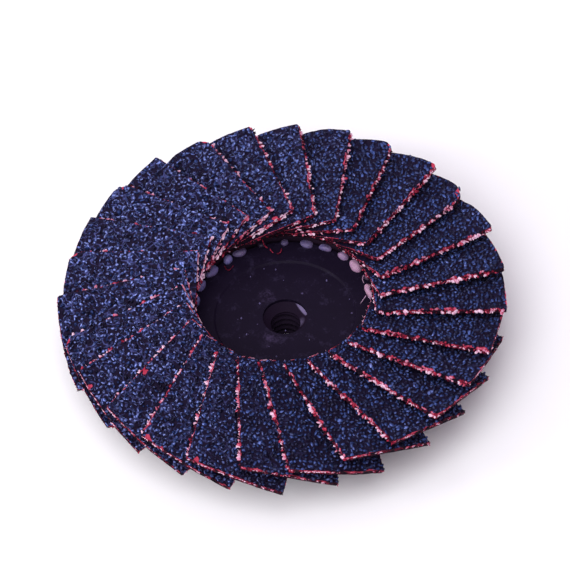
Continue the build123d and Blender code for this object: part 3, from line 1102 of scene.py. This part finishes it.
        # a few loose fibres
        dice, runs, sides, rings = self.dice, self.edgeRuns(), 3, 4
        for _ in range(round(frayShape["hairs"] * (1 - self.crusted))):
            start, along, run, away = runs[dice.choice(("leading", "leading", "outer", "inner"))]
            s = dice.uniform(0, run)
            root = np.array([start[0] + along[0] * s, start[1] + along[1] * s, dice.uniform(-0.6, -0.3)])
            heading = np.array([away[i] + along[i] * dice.uniform(-1.2, 1.2) for i in (0, 1)]
                               + [dice.uniform(-0.3, 0.8)])
            heading /= np.linalg.norm(heading)
            bend = np.array([dice.uniform(-1, 1) for _ in range(3)]) * 0.5
            reach, thick = dice.uniform(*frayShape["hairReach"]), dice.uniform(*frayShape["hairRadius"])
            points, tones = [], []
            for ring in range(rings):
                t = ring / (rings - 1)
                centre = root + heading * reach * t + bend * reach * t * t * 0.6
                for k in range(sides):
                    a = fullTurn * k / sides
                    across = np.array([along[0] * math.cos(a), along[1] * math.cos(a), math.sin(a)])
                    points.append(centre + across * thick * (1 - 0.5 * t))
                    tones.append(0.55 + 0.4 * t)
            points = np.array(points)
            points[:, 2] = np.minimum(points[:, 2], frayShape["hairCeiling"])
            parts.add(self.world(*points.T), ringFaces(rings, sides), 2, frayTone=tones)

    def build(self):
        parts = MeshParts("bareCloth", "frayTone", "grainTone", "grainRim")
        self.slab(parts)
        self.grains(parts)
        self.yarns(parts)
        self.hairs(parts)
        materials = [mineralGrain, sizeCoat, cutFibre, clothBack]
        obj = parts.make(f"clothFlap_{self.number:02d}", materials, (0, 1))
        mesh = obj.data
        # painted highlight strength for this flap, highest on one side of the disc
        low, high = flapShape["highlightShares"]
        setValues(mesh, "highlightShare", np.full(parts.count, low + (high - low) * self.highlightSide))
        local = (np.concatenate(parts.points) / mm - self.origin) @ self.axes.T * mm
        corners = np.empty(len(mesh.loops), int)
        mesh.loops.foreach_get("vertex_index", corners)
        uv = mesh.uv_layers.new(name="clothMap")
        uv.data.foreach_set("uv", local[corners][:, :2].ravel().astype(np.float32))
        return obj


def makeFlaps():
    nodes = sorted(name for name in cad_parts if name.startswith("flap_"))
    for name in nodes:
        flap = Flap(int(name.split("_")[1]), readFlap(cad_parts[name]))
        obj = flap.build()
        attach(obj, "root")
        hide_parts(name)
    print("flaps made:", len(nodes))


makeFlaps()


glueShape = {
    "ringInner": 16.3,
    "ringOuter": 30.6,
    "ringRise": 1.45,
    "ringOuterRise": 0.35,
    "rimFall": 0.95,
    "ringAround": 360,
    "ringStations": 14,
    "waves": 1.4,
    "lumpRings": 14,
    "lumpAround": 20,
    "lumpFoot": -0.35,          # mm, where a lump is cut off flat below its middle
    "lumpLift": 0.25,
    "lumpTail": 1.8,            # how much further a lump reaches back towards the ring
    "nearRing": 15.6,
    "nearSpacing": 13.3,
}

# lumps squeezed out between the flap feet on the far side: angle, radius, half width, half depth,
# half height, how rosy and how stained
seenBeads = (
    (178.4, 15.6, 1.25, 0.65, 0.70, 0.1, 0.10), (163.8, 15.6, 1.40, 0.65, 0.75, 0.0, 0.10),
    (150.5, 15.8, 1.25, 0.70, 0.75, 0.0, 0.15), (137.6, 15.9, 1.50, 0.70, 0.80, 0.1, 0.25),
    (124.3, 15.7, 0.80, 0.60, 0.85, 0.1, 0.10), (114.9, 15.9, 1.35, 0.60, 0.60, 0.2, 0.55),
    (100.5, 16.1, 0.70, 0.50, 0.40, 0.3, 0.95), (86.4, 15.8, 0.65, 0.55, 0.45, 0.2, 0.65),
    (72.5, 15.8, 1.20, 0.60, 0.55, 0.2, 0.50), (60.9, 15.9, 1.25, 0.60, 0.60, 0.2, 0.40),
    (47.5, 15.9, 1.00, 0.65, 0.75, 0.5, 0.15), (36.2, 15.7, 1.35, 0.85, 1.00, 0.8, 0.00),
    (24.5, 16.1, 0.60, 0.50, 0.45, 0.6, 0.70), (13.7, 15.1, 1.45, 0.70, 0.90, 0.9, 0.00),
)

# fine tails pulled off the lumps on the right: points as x, y, z in mm
beadTails = (
    ((14.0, 6.5, 9.3), (13.6, 5.9, 9.0), (13.9, 4.9, 9.1)),
    ((14.0, 2.4, 8.7), (13.5, 1.8, 8.5), (13.0, 1.1, 8.4)),
    ((14.4, 2.0, 8.8), (14.8, 1.4, 8.8), (15.0, 0.6, 8.8)),
)


def beadLump(parts, angle, radius, wide, deep, tall, rose, stain, floorZ, seed):
    # one soft lump, drawn out towards the ring behind it
    rings, around = glueShape["lumpRings"], glueShape["lumpAround"]
    turn = math.radians(angle)
    lump = []
    for i in range(rings + 1):
        polar = math.pi * i / rings
        for k in range(around):
            a = fullTurn * k / around
            u, v = wide * math.sin(polar) * math.cos(a), deep * math.sin(polar) * math.sin(a)
            w = tall * math.cos(polar)
            swell = 1 + 0.34 * ripple(u, v, w, seed, 1.1)
            if v > 0:
                v *= glueShape["lumpTail"]
            u, v, w = u * swell, v * swell, max(w * swell, glueShape["lumpFoot"]) + glueShape["lumpLift"]
            px = (radius + v) * math.cos(turn) - u * math.sin(turn)
            py = (radius + v) * math.sin(turn) + u * math.cos(turn)
            lump.append((px * mm, py * mm, (floorZ + w) * mm))
    parts.add(lump, ringFaces(rings + 1, around, flipped=True), glueStain=stain, glueRose=rose)


def makeAdhesiveRing(floorZ):
    # the ring that the flaps are bedded in: radius, height and waviness of each station across it
    turns, inner, outer = glueShape["ringAround"], glueShape["ringInner"], glueShape["ringOuter"]
    rise, outerRise = glueShape["ringRise"], glueShape["ringOuterRise"]
    stations = [(inner, 0.0, 0.0), (inner + 0.15, rise * 0.75, 0.12)]
    for t in np.linspace(0.04, 0.97, glueShape["ringStations"]):
        stations.append((inner + (outer - inner) * t, rise + (outerRise - rise) * t, 0.1))
    stations += [(outer, outerRise - 0.5, 0.12), (outer - 0.1, -glueShape["rimFall"], 0.0)]
    points = []
    for radius, height, wander in stations:
        for k in range(turns):
            a = fullTurn * k / turns
            wave = wander * ripple(radius * math.cos(a), radius * math.sin(a), height, 3, glueShape["waves"])
            points.append(((radius + wave) * math.cos(a) * mm, (radius + wave) * math.sin(a) * mm,
                           (floorZ + height + wave) * mm))
    faces = ringFaces(len(stations), turns, closed=True, flipped=True)
    ring = meshObject("adhesiveRing", points, faces, [darkGlueBed], smooth=True)
    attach(ring, "root")
    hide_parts("adhesive_bed")


def makeAdhesiveBeads(floorZ):
    # the lumps squeezed out at the inner side of the ring
    dice = random.Random(41)
    parts = MeshParts("glueStain", "glueRose")
    for number, bead in enumerate(seenBeads):
        beadLump(parts, *bead, floorZ, 60 + number)
    for tail in beadTails:
        addTube(parts, tail, (0.12, 0.09, 0.05), glueRose=0.7, glueStain=0.1)
    angle = 2.0
    while angle > -170:
        size = dice.uniform(0.8, 1.15)
        beadLump(parts, angle, glueShape["nearRing"] + dice.uniform(-0.2, 0.3), 1.15 * size, 0.8 * size,
                 0.85 * size, dice.uniform(0.1, 0.9), dice.uniform(0.0, 0.4), floorZ, 90 - angle)
        angle -= glueShape["nearSpacing"] * dice.uniform(0.85, 1.15)
    beads = parts.make("adhesiveBeads", [setEpoxy], (0,))
    settle = beads.modifiers.new("settle", "SMOOTH")
    settle.factor = 0.5
    settle.iterations = 2
    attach(beads, "root")
    print("adhesive made:", len(seenBeads), "lumps on the far side")


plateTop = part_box("backing_plate")[1].z
makeAdhesiveRing(plateTop / mm)
makeAdhesiveBeads(plateTop / mm)


bushShape = {
    "minorRadius": 2.55,
    "mouthRadius": 3.8,
    "headRadius": 5.5,
    "bossTop": 5.0,
    "edgeChamfer": 0.5,
    "boreBottom": 0.4,
    "pitch": 1.27,
    "threadDepth": 0.62,
    "grooveHalf": 0.42,         # half the groove's width, as a share of the pitch
    "grooveFlat": 1.15,
    "rolledIn": 0.16,           # how far the last turn at the flat end was pressed inwards
    "around": 72,
    "stepsPerTurn": 12,
}


def makeBush():
    # turned steel body; its bore is cut outwards by the helix
    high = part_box("threaded_bush")[1]
    bossRadius, headTop = high.x / mm, high.z / mm
    minor, mouth = bushShape["minorRadius"], bushShape["mouthRadius"]
    headRadius, bossTop, chamfer = bushShape["headRadius"], bushShape["bossTop"], bushShape["edgeChamfer"]
    boreBottom, pitch, around = bushShape["boreBottom"], bushShape["pitch"], bushShape["around"]
    outer = [
        (minor + 0.4, 0.0), (bossRadius - chamfer, 0.0), (bossRadius - 0.15, 0.12), (bossRadius, chamfer),
        (bossRadius, bossTop - 0.3), (bossRadius - 0.3, bossTop), (headRadius, bossTop),
        (headRadius, headTop), (mouth, headTop), (mouth - 0.1, headTop - 0.06),
        (minor + 0.15, headTop - (mouth - minor) + 0.1),
    ]
    boreTop = headTop - (mouth - minor)
    steps = int((boreTop - boreBottom) / pitch * bushShape["stepsPerTurn"])
    profile = [(r, z, 0.0) for r, z in outer]       # radius, height and how deep the thread is cut there
    for i in range(steps + 1):
        z = boreTop - (boreTop - boreBottom) * i / steps
        fade = min(1.0, i / 6, (steps - i) / 6)
        profile.append((minor - bushShape["rolledIn"] * max(0.0, 1 - z), z, fade))
    points = []
    for r, z, cut in profile:
        for k in range(around):
            a = fullTurn * k / around
            phase = (z / pitch - a / fullTurn) % 1.0
            groove = max(0.0, 1 - abs(phase - 0.5) / bushShape["grooveHalf"])
            radius = r + cut * bushShape["threadDepth"] * min(1.0, groove * bushShape["grooveFlat"])
            points.append((radius * math.cos(a) * mm, radius * math.sin(a) * mm, z * mm))
    faces = ringFaces(len(profile), around, closed=True)
    bush = meshObject("steelBush", points, faces, [turnedSteel], smooth=True)
    bush.data.set_sharp_from_angle(angle=math.radians(32))
    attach(bush, "root")
    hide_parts("threaded_bush")
    print("bush made")


makeBush()


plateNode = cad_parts["backing_plate"]
plateNode.data.materials.clear()
plateNode.data.materials.append(plateNylon)

dustShape = {
    "radius": 0.15,
    "recess": (11.8, 0.3),      # mm, radius and depth of the recess in the plate
    "spots": (                  # x, y and relative size
        (-0.9, 10.5, 1.2), (7.6, 7.1, 1.3), (-7.4, 0.4, 1.2), (-6.7, -3.2, 1.1), (-4.1, 3.3, 1.3),
        (-0.1, -3.1, 0.9), (-5.3, 9.4, 0.7), (3.8, -5.5, 0.8), (0.3, 8.0, 0.6), (-2.9, 10.9, 0.7),
        (11.2, 2.6, 0.7), (-2.0, -8.5, 0.8),
    ),
}


def makeLooseGrit():
    # specks of grit that have fallen on the plate
    recessRadius, recessDepth = dustShape["recess"]
    floorZ = (plateTop - recessDepth * mm) / mm
    dice, sides = random.Random(7), 6
    angles = [k * math.pi / 3 for k in range(sides)]
    parts = MeshParts()
    for x, y, size in dustShape["spots"]:
        radius = dustShape["radius"] * size
        level = floorZ if math.hypot(x, y) < recessRadius else floorZ + recessDepth
        foot = [(x + radius * math.cos(a) * dice.uniform(0.8, 1.2),
                 y + radius * math.sin(a) * dice.uniform(0.8, 1.2), level) for a in angles]
        upper = [(x + radius * 0.6 * math.cos(a), y + radius * 0.6 * math.sin(a),
                  level + radius * dice.uniform(0.8, 1.3)) for a in angles]
        parts.add(np.array(foot + upper) * mm, ringFaces(2, sides) + [tuple(range(sides, 2 * sides))])
    grit = parts.make("looseGrit", [fallenDust])
    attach(grit, "root")
    print("loose grit made:", len(dustShape["spots"]))


# ends of yarn that have curled over the inner edge: points as x, y, z in mm
yarnCurls = (
    ((-9.6, 11.7, 8.6), (-9.3, 10.9, 8.5), (-8.8, 10.7, 8.5), (-8.1, 11.3, 8.9)),
    ((-1.6, 14.5, 8.8), (-1.4, 14.2, 8.5), (-1.1, 13.8, 8.5)),
    ((-0.5, 13.6, 8.5), (-0.2, 13.5, 8.5), (0.2, 13.8, 8.6), (0.4, 14.2, 9.0)),
    ((-2.8, 15.2, 10.6), (-2.6, 15.0, 9.6), (-2.4, 15.0, 9.0), (-2.0, 14.7, 8.8)),
)


def makeStrayYarn():
    parts = MeshParts("frayTone")
    for number, path in enumerate(yarnCurls):
        addTube(parts, path, (0.11, 0.10, 0.06), frayTone=0.2 + 0.04 * number)
    yarn = parts.make("strayYarn", [cutFibre], (0,))
    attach(yarn, "root")
    print("stray yarn made:", len(yarnCurls))


makeLooseGrit()
makeStrayYarn()


studio = {
    "floorColour": (0.95, 0.97, 0.94, 1.0),
    "floorReach": 3.0,
    "worldColour": (0.52, 0.40, 0.58, 1.0),
    "worldStrength": 0.57,
    "aim": (0, 0, 0.01),
    "lights": (                 # name, place, size, power and colour
        ("keyLight", (-0.28, 0.30, 0.86), 2.20, 6.9, (1.0, 0.98, 1.0)),
        ("leftLight", (-0.88, -0.20, 0.47), 0.26, 2.7, (0.92, 0.93, 1.0)),
        ("frontFill", (-0.14, -0.50, 0.82), 0.90, 7.8, (0.97, 0.97, 1.0)),
    ),
}


def makeStudio():
    reach = studio["floorReach"]
    paper = newMaterial("palePaper", {
        "Roughness": 0.9, "Specular IOR Level": 0.1, "Base Color": studio["floorColour"]})[0]
    corners = [(-reach, -reach, 0), (reach, -reach, 0), (reach, reach, 0), (-reach, reach, 0)]
    floor = meshObject("paleFloor", corners, [(0, 1, 2, 3)], [paper])
    world = bpy.data.worlds.new("studioAir")
    world.use_nodes = True
    background = world.node_tree.nodes["Background"]
    background.inputs["Color"].default_value = studio["worldColour"]
    background.inputs["Strength"].default_value = studio["worldStrength"]
    bpy.context.scene.world = world
    for name, place, size, power, colour in studio["lights"]:
        light = bpy.data.lights.new(name, "AREA")
        light.shape = "DISK"
        light.size = size
        light.energy = power
        light.color = colour
        lamp = bpy.data.objects.new(name, light)
        lamp.location = place
        lamp.rotation_mode = "QUATERNION"
        lamp.rotation_quaternion = (Vector(studio["aim"]) - Vector(place)).to_track_quat("-Z", "Y")
        bpy.context.scene.collection.objects.link(lamp)
    bpy.context.scene.view_settings.view_transform = "Standard"
    print("studio made:", len(studio["lights"]), "lights")


camera = {
    "elevation": 50.28,
    "roll": 4.8,
    "distance": 0.735,
    "lens": 275.6,
    "aim": (0.0, 0.0, 0.0149),
    "aimRight": 0.00038,
    "aimUp": 0.00090,
}


def makeCamera():
    tilt, roll = math.radians(camera["elevation"]), math.radians(camera["roll"])
    back = Vector((0, -math.cos(tilt), math.sin(tilt)))
    level, rise = Vector((1, 0, 0)), Vector((0, math.sin(tilt), math.cos(tilt)))
    right = level * math.cos(roll) - rise * math.sin(roll)
    up = level * math.sin(roll) + rise * math.cos(roll)
    data = bpy.data.cameras.new("viewCamera")
    data.lens = camera["lens"]
    data.sensor_width = 36.0
    data.clip_start, data.clip_end = 0.01, 20.0
    obj = bpy.data.objects.new("viewCamera", data)
    bpy.context.scene.collection.objects.link(obj)
    aim = Vector(camera["aim"]) + right * camera["aimRight"] + up * camera["aimUp"]
    place = aim + back * camera["distance"]
    obj.matrix_world = Matrix((
        (right.x, up.x, back.x, place.x),
        (right.y, up.y, back.y, place.y),
        (right.z, up.z, back.z, place.z),
        (0, 0, 0, 1),
    ))
    bpy.context.scene.camera = obj
    print("camera made")


makeStudio()
makeCamera()
